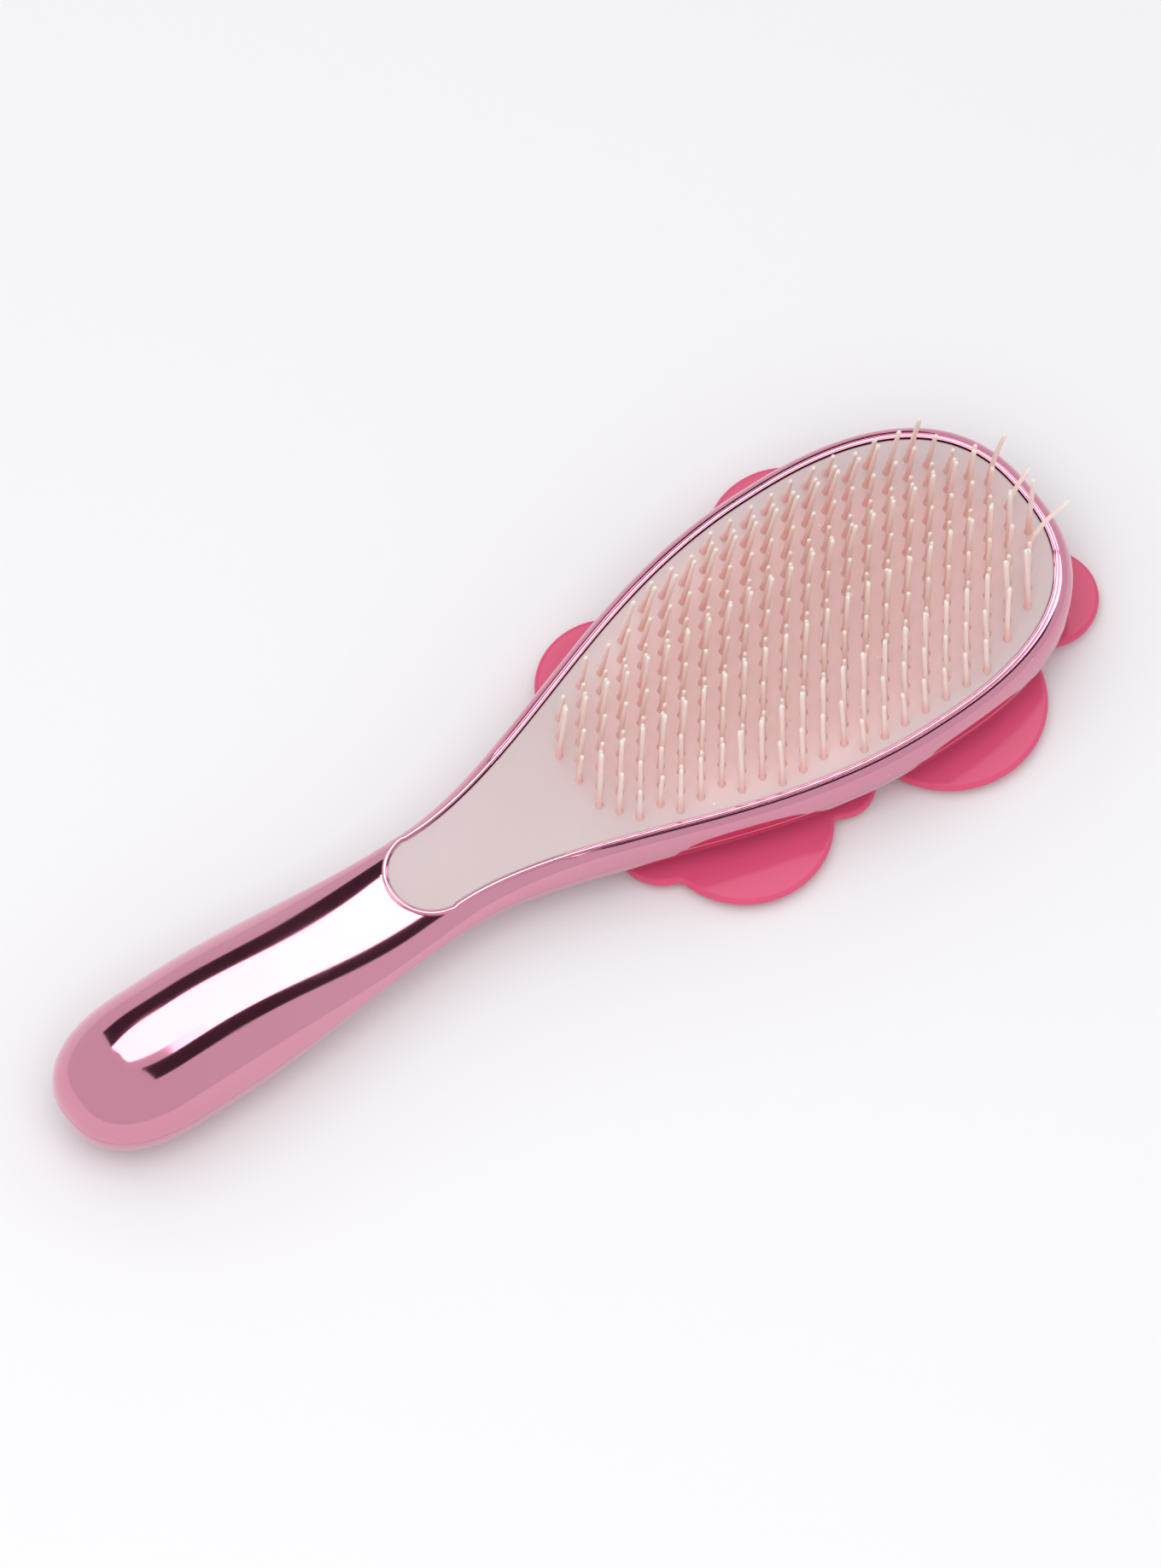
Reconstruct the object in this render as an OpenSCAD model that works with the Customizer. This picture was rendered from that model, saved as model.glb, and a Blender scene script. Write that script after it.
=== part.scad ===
// Detangling hairbrush: a hollow two-shell body with a flush bristle panel, three lengths of
// bristle and a lobed ornament on its back. It lies on its back, bristles up, long axis along X.

/* [Body] */
// Length of the body, from the tip of the handle to the tip of the head
body_len = 227; // [190:1:275]
// Greatest width of the head
head_w = 66.4; // [56:0.2:80]
// Depth of the head, from the face of the bristle panel to the back
head_depth = 14.2; // [12:0.1:20]
// Distance from the tip of the head back to its widest point
head_round = 46.7; // [38:0.1:56]
// Greatest width of the handle
grip_w = 29.9; // [24:0.1:36]
// Thickness of the handle where it is fattest
grip_t = 25.2; // [22:0.1:32]
// Width of the neck
neck_w = 23.4; // [20:0.1:28]
// Thickness of the neck
neck_t = 10.9; // [9:0.1:14]
// Wall of both shells
wall = 2.2; // [1.6:0.1:2.6]
// Height of the front shell's edge above the line where the shells meet
skirt_h = 5.8; // [5.6:0.1:7]

/* [Bristle panel] */
// Width of the rim around the panel
rim_w = 3.5; // [3.3:0.1:5]
// How far the rim stands above the panel
lip_h = 0.3; // [0:0.1:0.8]
// Thickness of the panel
panel_t = 2.1; // [1.6:0.1:2.4]
// Gap between the panel and its pocket
panel_gap = 0.15; // [0.05:0.05:0.4]
// Thickness of the deck under the panel
deck_t = 2.4; // [2.2:0.1:2.6]
// Distance from the tip of the handle to the narrow end of the panel
panel_start = 76.5; // [70:0.5:84]

/* [Bristles] */
// Length of the long bristles
long_h = 18.6; // [14:0.1:26]
// Length of the medium bristles
medium_h = 13; // [9:0.1:20]
// Length of the short bristles
short_h = 9.2; // [6:0.1:14]
// Diameter of a bristle at its foot
bristle_d = 1.16; // [0.8:0.02:1.6]
// Diameter of a bristle at its tip
tip_d = 0.84; // [0.6:0.02:1.2]
// Distance between the bristles of a row
pitch = 4.8; // [4:0.05:6]
// Distance between rows
row_gap = 3.28; // [2.8:0.01:4]
// Bare edge of the panel, outside the bristles
bare_edge = 2.4; // [2:0.1:6]
// Distance from the narrow end of the panel to the first bristles
bare_end = 42; // [30:0.5:60]
// Lean of the bristles towards the head, in degrees
lean_head = 4; // [0:0.5:8]
// Lean of the bristles towards the middle line, in degrees for each millimetre from it
lean_in = 0.37; // [0:0.01:0.5]

/* [Ornament] */
// Thickness of the lobed plate
plate_t = 2; // [1.6:0.1:3]
// Thickness of the blossom on the plate
blossom_t = 1.9; // [1.6:0.1:3]
// Height of the round seats that carry the plate
seat_h = 0.4; // [0.2:0.1:1]
// Diameter of the gem in the blossom
gem_d = 12; // [8:0.5:14]

/* [Fasteners] */
// Diameter of a screw's shank
screw_d = 2; // [1.6:0.1:2.4]
// Diameter of a screw's head
screw_head_d = 4.2; // [3.6:0.1:5]
// Clearance around screws and pegs
fit = 0.05; // [0.02:0.01:0.2]

/* [Hidden] */
$fn = 48;

// Heights above the surface that the brush lies on
plate_z = blossom_t;
seat_z = plate_z + plate_t;
back_z = seat_z + seat_h;
panel_z = back_z + head_depth;
rim_z = panel_z + lip_h;
part_z = rim_z - skirt_h;
pocket_z = panel_z - panel_t;
deck_z = pocket_z - deck_t;
neck_z = rim_z - neck_t;

// Places along the body, from the tip of the handle
grip_round = 22;
grip_x = 30;
neck_x = 87;
neck_low_x = 74;
back_flat_x = 130;
head_x = body_len - head_round;
centre_pull = 0.35;
tip_centre = 20;
box_from = neck_x - 20;
box_over = 50;

// Shape rules
cap_n = 2.4;
head_n = 2.5;
flare = 0.874;
front_n = 2.6;
back_n = 2.4;
front_round = 3.4;
back_round_share = 0.75;
least_flat = 0.6;
thick_by = panel_start - 10;
top_wall_grow = lip_h + panel_t + deck_t - wall;

// Faces with less than this twice over are left out
sliver = 0.0001;

// Fineness of the shells: along the cap, the middle and the head, and around the side
cap_steps = 8;
mid_steps = 22;
head_steps = 9;
side_steps = 7;

function clamp01(t) = min(1, max(0, t));
function ease(t) = (1 - cos(180 * clamp01(t))) / 2;
function mix(a, b, t) = a + (b - a) * t;
function power(v, n) = pow(max(0, v), 2 / n);

// Half the body's width at a place along it, up to the widest point of the head
function half_w(x) =
    x <= neck_x
    ? mix(grip_w, neck_w, ease((x - grip_x) / (neck_x - grip_x))) / 2
    : mix(neck_w, head_w, pow(sin(90 * pow((x - neck_x) / (head_x - neck_x), flare)), 2)) / 2;

// How far the section has turned from the handle's ellipse to the head's flat box
function boxed(x) = ease((x - box_from) / box_over);
function top_at(x) = mix(grip_t, rim_z, ease((x - grip_x) / (panel_start - grip_x)));
function low_at(x) =
    x < neck_low_x
    ? mix(0, neck_z, ease((x - grip_x) / (neck_low_x - grip_x)))
    : mix(neck_z, back_z, ease((x - neck_low_x) / (back_flat_x - neck_low_x)));

// Outline of the body at an inset: pairs of an edge point and the place on the centre line that
// its cross-section starts from
function stations(d) = concat(
    [for (i = [0 : cap_steps - 1]) let (q = 90 * i / cap_steps)
        [[grip_round - (grip_round - d) * power(cos(q), cap_n),
          (grip_w / 2 - d) * power(sin(q), cap_n)],
         grip_round * (1 - centre_pull * cos(q))]],
    [for (i = [0 : mid_steps]) let (x = mix(grip_round, head_x, i / mid_steps))
        [[x, half_w(x) - d], x]],
    [for (i = [head_steps - 1 : -1 : 0]) let (q = 90 * i / head_steps)
        [[head_x + (head_round - d) * power(cos(q), head_n),
          (head_w / 2 - d) * power(sin(q), head_n)],
         head_x + (head_round - tip_centre) * cos(q)]]);

// Thickness of a shell over its hollow: the front shell thickens into the deck under the panel
function shell_wall(x, up) =
    up > 0 ? wall + top_wall_grow * ease((x - grip_x) / (thick_by - grip_x)) : wall;

// One point of a shell's surface: k counts round the side from the joint line to the flat
function skin_point(s, k, d, up, mirrored) =
    let (x = s[1], reach = norm(s[0] - [x, 0]), q = 90 * k / side_steps,
         n = mix(2, up > 0 ? front_n : back_n, boxed(x)),
         full = reach - least_flat,
         turn = up > 0 ? mix(full, min(full, front_round), boxed(x))
                       : mix(full, full * back_round_share, boxed(x)),
         share = 1 - turn / reach * (1 - power(cos(q), n)),
         thick = d == 0 ? 0 : shell_wall(x, up),
         rise = (up > 0 ? top_at(x) - part_z : part_z - low_at(x)) - thick,
         xy = k > side_steps ? [x, 0] : [x, 0] + (s[0] - [x, 0]) * share)
    [xy[0], mirrored ? -xy[1] : xy[1], part_z + up * rise * (k > side_steps ? 1 : power(sin(q), n))];

// Points of one whole skin; the two tips hold only one side, because both sides meet there
function skin(d, up) =
    let (st = stations(d), last = len(st) - 1, m = side_steps + 1)
    [for (i = [0 : last], j = [0 : (i == 0 || i == last) ? m : 2 * m])
        skin_point(st[i], min(j, 2 * m - j), d, up, j > m)];

function skin_index(i, j) =
    let (m = side_steps + 1, last = cap_steps + mid_steps + head_steps,
         start = i == 0 ? 0 : m + 1 + (i - 1) * (2 * m + 1))
    start + ((i == 0 || i == last) ? min(j, 2 * m - j) : j);

// The two triangles of one patch; the two sides of the body are split as mirror images
function split(start, i, j, left) =
    let (a = start + skin_index(i, j), b = start + skin_index(i, j + 1),
         c = start + skin_index(i + 1, j + 1), d = start + skin_index(i + 1, j))
    left ? [[a, b, c], [a, c, d]] : [[a, b, d], [b, c, d]];

// A hollow half body: up is 1 for the front shell and -1 for the back shell
module half_body(up) {
    outer = skin(0, up);
    inner = skin(wall, up);
    n = len(outer);
    last = cap_steps + mid_steps + head_steps;
    m = 2 * (side_steps + 1);
    faces = concat(
        [for (i = [0 : last - 1], j = [0 : m - 1]) each split(0, i, j, j < m / 2)],
        [for (i = [0 : last - 1], j = [0 : m - 1], f = split(n, i, j, j < m / 2)) [f[0], f[2], f[1]]],
        [for (i = [0 : last - 1]) each
            [[skin_index(i, 0), skin_index(i + 1, 0), n + skin_index(i + 1, 0)],
             [skin_index(i, 0), n + skin_index(i + 1, 0), n + skin_index(i, 0)],
             [skin_index(i + 1, m), skin_index(i, m), n + skin_index(i, m)],
             [skin_index(i + 1, m), n + skin_index(i, m), n + skin_index(i + 1, m)]]]);
    points = concat(outer, inner);
    // Both sides of the body meet along the middle of a tip, where they leave flat slivers
    kept = [for (f = faces)
        if (norm(cross(points[f[1]] - points[f[0]], points[f[2]] - points[f[0]])) > sliver) f];
    polyhedron(points, up < 0 ? kept : [for (f = kept) [f[2], f[1], f[0]]]);
}

// Outline of the bristle panel at an inset from the body's edge, starting at x0
function panel_side(d, x0) =
    let (r = half_w(panel_start) - d)
    concat(
        [for (q = [0 : 15 : 75]) [x0 + r * (1 - cos(q)), r * sin(q)]],
        [for (i = [0 : mid_steps]) let (x = mix(x0 + r, head_x, i / mid_steps)) [x, half_w(x) - d]],
        [for (i = [head_steps * 2 - 1 : -1 : 0]) let (q = 45 * i / head_steps)
            [head_x + (head_round - d) * power(cos(q), head_n),
             (head_w / 2 - d) * power(sin(q), head_n)]]);

module panel_shape(d, x0) {
    side = panel_side(d, x0);
    last = len(side) - 1;
    polygon(concat(side, [for (i = [last - 1 : -1 : 1]) [side[i][0], -side[i][1]]]));
}

// Screws that join the shells, under the panel, and pegs that place the panel
screw_spots = [[panel_start + 8, 0],
               [back_flat_x, 11], [back_flat_x, -11],
               [head_x + 12, 20], [head_x + 12, -20]];
peg_spots = [[panel_start + 24, 0], [head_x - 22, 17], [head_x - 22, -17], [head_x + 30, 0]];
peg_d = 3;
peg_l = 1.6;
boss_d = 6.4;
head_sink = 1.3;
head_t = 1.2;
screw_len = 5.6;

module at_spots(spots, z) {
    for (p = spots) translate([p[0], p[1], z]) children();
}

module front_shell() {
    color("#e79abb") to_middle() difference() {
        half_body(1);
        translate([0, 0, pocket_z])
            linear_extrude(rim_z - pocket_z + 1) panel_shape(rim_w - panel_gap, panel_start - panel_gap);
        at_spots(screw_spots, deck_z - 1) cylinder(d = screw_d + 2 * fit, h = deck_t + 2);
        at_spots(screw_spots, pocket_z - head_sink) cylinder(d = screw_head_d + 4 * fit, h = head_sink + 1);
        at_spots(peg_spots, deck_z - 1) cylinder(d = peg_d + 2 * fit, h = deck_t + 2);
    }
}

// Places of the two screws that hold the ornament
flower_x = head_x - 14;
hold_spots = [[flower_x - 17, 0], [flower_x + 17, 0]];
hold_boss_d = 7;
hold_floor = back_z + wall + 0.6;
hold_tip = 0.6;

module back_shell() {
    color("#dd8fae") to_middle() difference() {
        union() {
            half_body(-1);
            for (p = screw_spots) translate([p[0], p[1], low_at(p[0]) + wall / 2])
                cylinder(d = boss_d, h = deck_z - low_at(p[0]) - wall / 2);
            at_spots(hold_spots, seat_z) cylinder(d = hold_boss_d, h = hold_floor - seat_z);
        }
        at_spots(screw_spots, pocket_z - head_sink - screw_len)
            cylinder(d = screw_d + 2 * fit, h = part_z - pocket_z + head_sink + screw_len + 2);
        at_spots(hold_spots, seat_z - 1) cylinder(d = screw_d + 2 * fit, h = hold_floor - seat_z + 2);
    }
}

module bristle_panel() {
    color("#ecd6d4") to_middle() {
        translate([0, 0, pocket_z]) linear_extrude(panel_t) panel_shape(rim_w, panel_start);
        at_spots(peg_spots, pocket_z - peg_l) cylinder(d = peg_d, h = peg_l + 0.1);
    }
}

// A bristle is a slim tapered shaft with a rounded tip. Its foot lies flat on the panel.
bristle_sides = 6;
tip_flat = 0.05;

function lean(y) = [tan(lean_head), -tan(lean_in * y), 1];

// Rings of one bristle, from the foot to the tip: radius and height
function rings(h) = [[bristle_d / 2, 0], [tip_d / 2, h - tip_d / 2], [tip_d / 4, h - tip_flat]];

function bristle_points(x, y, h) =
    [for (r = rings(h), k = [0 : bristle_sides - 1])
        let (q = 360 * k / bristle_sides)
        [x, y, panel_z] + r[1] * lean(y) + r[0] * [cos(q), sin(q), 0]];

function bristle_faces(start) =
    let (s = bristle_sides, last = len(rings(1)) - 1)
    concat(
        [[for (k = [0 : s - 1]) start + k], [for (k = [s - 1 : -1 : 0]) start + last * s + k]],
        [for (r = [0 : last - 1], k = [0 : s - 1])
            let (a = start + r * s + k, b = start + r * s + (k + 1) % s)
            each [[a, a + s, b + s], [a, b + s, b]]]);

// Half the width of the bristle field at a place along the body
function field_w(x) =
    let (d = rim_w + bare_edge)
    x < panel_start + bare_end ? -1
    : x <= head_x ? half_w(x) - d
    : x >= body_len - d ? -1
    : (head_w / 2 - d) * pow(1 - pow((x - head_x) / (head_round - d), head_n), 1 / head_n);

// Rows run along the brush, every other one half a pitch on. Counted from the middle, the rows
// repeat short, medium, long, medium. The whole field lies a little to one side.
field_shift = 1.1;
row_shift = -0.6;
rows = floor((head_w / 2 - rim_w - bare_edge) / row_gap);
tier_of = [0, 1, 2, 1];
cols = ceil(body_len / pitch / 2);

function tier_spots(tier) =
    [for (j = [-rows : rows], i = [-cols : cols])
        let (x = head_x + field_shift + (i + (abs(j) % 2) / 2) * pitch, y = j * row_gap)
        if (tier_of[abs(j) % 4] == tier && abs(y) <= field_w(x)) [x, y + row_shift]];

module bristle_tier(tier, h) {
    spots = tier_spots(tier);
    size = bristle_sides * len(rings(1));
    polyhedron([for (p = spots) each bristle_points(p[0], p[1], h)],
               [for (i = [0 : len(spots) - 1]) each bristle_faces(i * size)]);
}

module long_bristles() {
    color("#f3cfc6") to_middle() bristle_tier(2, long_h);
}

module medium_bristles() {
    color("#f1c6bd") to_middle() bristle_tier(1, medium_h);
}

module short_bristles() {
    color("#efbfb6") to_middle() bristle_tier(0, short_h);
}

// A pan-head screw with its tip down, its head's underside at the origin
slot_l = 2.2;
slot_w = 0.6;

module screw(l) {
    translate([0, 0, -l]) cylinder(d = screw_d, h = l);
    difference() {
        cylinder(d = screw_head_d, h = head_t);
        for (q = [0, 90]) rotate(q) translate([0, 0, head_t]) cube([slot_l, slot_w, head_t], center = true);
    }
}

module shell_screws() {
    color("#b9bcc2") to_middle() at_spots(screw_spots, pocket_z - head_sink) screw(screw_len);
}

module ornament_screws() {
    color("#b9bcc2") to_middle() at_spots(hold_spots, hold_floor) screw(hold_floor - hold_tip);
}

// The plate's round lobes: place from the head's widest point, and radius
lobes = [[6, 25, 15.5], [-40, 19, 14.4], [-36.5, -20, 17.2], [-52, -14.5, 8.6],
         [-17, -24, 7], [10.5, -21.4, 19.1], [38.3, -14, 10.7],
         [-14, 0, 27], [16, 0, 22], [-38, 0, 16]];

module ornament_plate() {
    color("#dc5a80") to_middle() difference() {
        translate([head_x, 0, plate_z]) for (p = lobes)
            translate([p[0], p[1], 0]) cylinder(r = p[2], h = plate_t, $fn = 96);
        at_spots(hold_spots, plate_z - 1) cylinder(d = screw_d + 2 * fit, h = plate_t + 2);
    }
}

// A blossom of round petals with a well for the gem in its middle
petals = 5;
petal_r = 10.5;
petal_out = 14;
heart_r = 12;
gem_floor = 0.4;

module ornament_blossom() {
    color("#e9799a") to_middle() difference() {
        translate([flower_x, 0, 0]) union() {
            cylinder(r = heart_r, h = blossom_t);
            for (k = [0 : petals - 1]) rotate(360 * (k + 0.5) / petals)
                translate([petal_out, 0, 0]) cylinder(r = petal_r, h = blossom_t, $fn = 96);
        }
        translate([flower_x, 0, -1]) cylinder(d = gem_d + 2 * fit, h = blossom_t - gem_floor + 1);
        at_spots(hold_spots, hold_tip - 0.1) cylinder(d = screw_d + 2 * fit, h = blossom_t);
    }
}

// A low domed stone, its round face down and a hair above the blossom's own face
gem_clear = 0.1;
gem_edge = 0.9;

module blossom_gem() {
    color("#f7b3c6") to_middle() translate([flower_x, 0, 0]) rotate_extrude() polygon(concat(
        [[0, blossom_t - gem_floor], [gem_d / 2, blossom_t - gem_floor]],
        [for (q = [0 : 15 : 75]) [gem_d / 2 * cos(q), mix(gem_edge, gem_clear, sin(q))]],
        [[0, gem_clear]]));
}

// The origin is under the middle of the whole brush, lobes included
overhang = max([for (p = lobes) p[0] + p[2]]) - head_round;
whole_len = body_len + max(0, overhang);

module to_middle() {
    translate([-whole_len / 2, 0, 0]) children();
}

front_shell();
back_shell();
bristle_panel();
long_bristles();
medium_bristles();
short_bristles();
shell_screws();
ornament_plate();
ornament_blossom();
blossom_gem();
ornament_screws();
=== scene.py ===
"""A detangling hairbrush: metallised two-part body, satin bristle panel and a lobed ornament."""
import logging
import math
import random
from collections.abc import Callable
from dataclasses import dataclass, field
from enum import Enum

import bmesh
import bpy
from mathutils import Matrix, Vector


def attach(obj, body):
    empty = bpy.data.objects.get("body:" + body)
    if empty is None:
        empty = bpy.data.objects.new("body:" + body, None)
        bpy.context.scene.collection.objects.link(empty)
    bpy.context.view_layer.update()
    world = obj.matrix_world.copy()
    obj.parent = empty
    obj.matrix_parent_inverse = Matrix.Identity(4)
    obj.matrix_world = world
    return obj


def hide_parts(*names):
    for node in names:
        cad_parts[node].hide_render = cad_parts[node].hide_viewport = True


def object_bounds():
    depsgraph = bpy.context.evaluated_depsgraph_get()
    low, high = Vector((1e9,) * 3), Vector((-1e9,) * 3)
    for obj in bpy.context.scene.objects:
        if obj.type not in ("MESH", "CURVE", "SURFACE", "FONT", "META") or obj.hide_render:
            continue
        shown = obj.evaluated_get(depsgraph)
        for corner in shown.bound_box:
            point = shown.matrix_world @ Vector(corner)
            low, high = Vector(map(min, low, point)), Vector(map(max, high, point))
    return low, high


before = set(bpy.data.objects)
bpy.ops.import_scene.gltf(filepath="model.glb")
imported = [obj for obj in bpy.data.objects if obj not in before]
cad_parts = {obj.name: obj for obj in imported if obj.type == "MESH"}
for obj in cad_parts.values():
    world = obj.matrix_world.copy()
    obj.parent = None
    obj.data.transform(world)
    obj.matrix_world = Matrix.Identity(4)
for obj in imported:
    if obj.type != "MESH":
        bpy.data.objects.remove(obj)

LOG = logging.getLogger("hairbrush")
MM = 0.001
OVER = 1.0  # how far a cutter reaches past the surface that it opens, in millimetres
TINY = 1e-6  # differences below this count as none
WELD_M = 2e-6  # points nearer than this become one, in metres
CREASE = 38.0  # degrees above which an edge stays sharp, unless a piece says otherwise

Point = tuple[float, float, float]
Spot = tuple[float, float]
Span = tuple[float, float]
Colour = tuple[float, float, float]


def corners(box: tuple[Point, Point]) -> list[list[float]]:
    """Plain lists of numbers for a box's two corners.

    Args:
        box: Lowest and highest corner.

    Returns:
        Both corners as lists, in metres.
    """
    return [[float(v) for v in corner] for corner in box]


CAD_BOX = corners(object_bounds())
MIDDLE = -CAD_BOX[0][0] / MM


def ease(t: float) -> float:
    """A smooth step from 0 to 1."""
    return (1 - math.cos(math.pi * min(1.0, max(0.0, t)))) / 2


def mix(a: float, b: float, t: float) -> float:
    """The value a share t of the way from a to b."""
    return a + (b - a) * t


def power(v: float, n: float) -> float:
    """One coordinate of a superellipse of exponent n."""
    return max(0.0, v) ** (2 / n)


class Tier(Enum):
    """The three lengths of bristle, by their place in the rows' order."""

    SHORT = 0
    MEDIUM = 1
    LONG = 2


class Half(Enum):
    """The two halves of the body, by the way they face."""

    FRONT = 1
    BACK = -1


# --------------------------------------------------------------------------- mesh making


@dataclass
class Draft:
    """A mesh in the making, in millimetres along the body, across it and above the floor."""

    points: list[Point] = field(default_factory=list)
    faces: list[list[int]] = field(default_factory=list)
    along: list[float] = field(default_factory=list)

    def ring(self, points: list[Point], along: float = 0.0) -> list[int]:
        """Adds points and gives their numbers.

        Args:
            points: Places in millimetres.
            along: Value kept with each point for the finish to read.

        Returns:
            The numbers of the new points.
        """
        start = len(self.points)
        self.points.extend(points)
        self.along.extend([along] * len(points))
        return list(range(start, start + len(points)))

    def bridge(self, a: list[int], b: list[int], closed: bool = True) -> None:
        """Joins two rings of equal count with quads.

        Args:
            a: First ring.
            b: Second ring.
            closed: Whether the last points join the first ones.
        """
        n = len(a)
        for k in range(n if closed else n - 1):
            j = (k + 1) % n
            self.faces.append([a[k], a[j], b[j], b[k]])

    def cap(self, ring: list[int]) -> None:
        """Closes a ring with one flat face."""
        self.faces.append(list(ring))

    def skin(self, rings: list[list[int]], closed: bool = False) -> None:
        """Joins rings one after the other.

        Args:
            rings: Rings of equal count.
            closed: Whether the last ring joins the first one; else both ends are capped.
        """
        for a, b in zip(rings, rings[1:]):
            self.bridge(a, b)
        if closed:
            self.bridge(rings[-1], rings[0])
        else:
            self.cap(rings[0])
            self.cap(rings[-1])

    def lathe(self, profile: list[Spot], centre: Spot, sides: int = 40, closed: bool = True) -> None:
        """Turns a profile about an upright line.

        Args:
            profile: Radius and height pairs.
            centre: Place of the line.
            sides: Number of sides.
            closed: Whether the profile closes on itself, as a tube's does; else both ends are capped.
        """
        x, y = centre
        turns = [math.tau * k / sides for k in range(sides)]
        self.skin([self.ring([(x + r * math.cos(q), y + r * math.sin(q), z) for q in turns])
                   for r, z in profile], closed)

    def build(self, name: str, crease: float = CREASE, keep_along: bool = False) -> bpy.types.Object:
        """Makes the object, in metres and in the frame's own place.

        Args:
            name: Name of the piece.
            crease: Angle in degrees above which an edge stays sharp.
            keep_along: Whether the finish reads the value kept with each point.

        Returns:
            The new object.
        """
        mesh = bpy.data.meshes.new(name)
        places = [((x - MIDDLE) * MM, y * MM, z * MM) for x, y, z in self.points]
        mesh.from_pydata(places, [], self.faces)
        if keep_along:
            mesh.attributes.new("along", "FLOAT", "POINT").data.foreach_set("value", self.along)
        form = bmesh.new()
        form.from_mesh(mesh)
        bmesh.ops.remove_doubles(form, verts=form.verts, dist=WELD_M)
        bmesh.ops.recalc_face_normals(form, faces=form.faces)
        form.to_mesh(mesh)
        form.free()
        piece = bpy.data.objects.new(name, mesh)
        bpy.context.scene.collection.objects.link(piece)
        smooth(piece, crease)
        return piece


def smooth(piece: bpy.types.Object, crease: float) -> None:
    """Shades a piece smooth, with sharp edges above an angle in degrees.

    Args:
        piece: Piece that is shaded.
        crease: The angle.
    """
    piece.data.polygons.foreach_set("use_smooth", [True] * len(piece.data.polygons))
    piece.data.set_sharp_from_angle(angle=math.radians(crease))
    piece.data.update()


def cut(piece: bpy.types.Object, cutter: bpy.types.Object, crease: float = CREASE) -> None:
    """Takes a cutter's shape out of a piece and removes the cutter.

    Args:
        piece: Piece that is cut.
        cutter: Closed mesh that is taken away.
        crease: Angle in degrees above which an edge stays sharp.
    """
    step = piece.modifiers.new("cut", "BOOLEAN")
    step.operation = "DIFFERENCE"
    step.solver = "EXACT"
    step.object = cutter
    deps = bpy.context.evaluated_depsgraph_get()
    mesh = bpy.data.meshes.new_from_object(piece.evaluated_get(deps))
    piece.modifiers.clear()
    piece.data = mesh
    bpy.data.objects.remove(cutter)
    smooth(piece, crease)


# --------------------------------------------------------------------------- finishes


class Graph:
    """A node tree that is being wired."""

    def __init__(self, tree: bpy.types.NodeTree) -> None:
        """Starts on a tree."""
        self.tree = tree

    def add(self, kind: str, settings: dict | None = None, **values: object) -> bpy.types.Node:
        """Adds a node and sets its inputs or links them.

        Args:
            kind: Blender's name for the kind of node.
            settings: The node's own options.
            values: Inputs by name, with _ for a blank: a number, a colour or another node's output.

        Returns:
            The new node.
        """
        node = self.tree.nodes.new(kind)
        for key, value in (settings or {}).items():
            setattr(node, key, value)
        for key, value in values.items():
            self.feed(node.inputs[key.replace("_", " ")], value)
        return node

    def feed(self, socket: bpy.types.NodeSocket, value: object) -> None:
        """Gives a socket a value, or links another node's output to it.

        Args:
            socket: Input that is fed.
            value: A number, a colour or another node's output.
        """
        if isinstance(value, bpy.types.NodeSocket):
            self.tree.links.new(value, socket)
        else:
            socket.default_value = value

    def group(self, tree: bpy.types.NodeTree, **values: object) -> bpy.types.Node:
        """Places a node group with its own values.

        Args:
            tree: The group.
            values: Inputs by name: a number, a colour or another node's output.

        Returns:
            The new node.
        """
        node = self.tree.nodes.new("ShaderNodeGroup")
        node.node_tree = tree
        for key, value in values.items():
            self.feed(node.inputs[key], value)
        return node

    def blend(self, a: object, b: object, share: object) -> bpy.types.NodeSocket:
        """Mixes two colours and gives the result's output.

        Args:
            a: Colour where the share is 0, or another node's output.
            b: Colour where the share is 1, or another node's output.
            share: Share of the second colour.

        Returns:
            The mixed colour's output.
        """
        node = self.tree.nodes.new("ShaderNodeMix")
        node.data_type = "RGBA"
        self.feed(node.inputs[0], share)
        self.feed(node.inputs[6], a)
        self.feed(node.inputs[7], b)
        return node.outputs[2]

    def sum(self, operation: str, a: object, b: object, clamp: bool = False) -> bpy.types.NodeSocket:
        """Works out one operation on two values.

        Args:
            operation: Blender's name for the operation.
            a: First value, or another node's output.
            b: Second value, or another node's output.
            clamp: Whether the result is kept between 0 and 1.

        Returns:
            The result's output.
        """
        node = self.add("ShaderNodeMath", {"operation": operation, "use_clamp": clamp})
        self.feed(node.inputs[0], a)
        self.feed(node.inputs[1], b)
        return node.outputs[0]

    def ramp(self, value: object, span: Span, low: object = 0.0, high: object = 1.0,
             soft: bool = False) -> bpy.types.NodeSocket:
        """Stretches a value's range to another one, without going past its ends.

        Args:
            value: The value, or another node's output.
            span: The two values that become the low and the high one.
            low: Result at the first of them.
            high: Result at the second.
            soft: Whether the change eases in and out.

        Returns:
            The result's output.
        """
        settings = {"interpolation_type": "SMOOTHSTEP"} if soft else None
        return self.add("ShaderNodeMapRange", settings, Value=value, From_Min=span[0],
                        From_Max=span[1], To_Min=low, To_Max=high).outputs[0]


Group = tuple[bpy.types.NodeTree, Graph, bpy.types.Node, bpy.types.Node]


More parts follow.
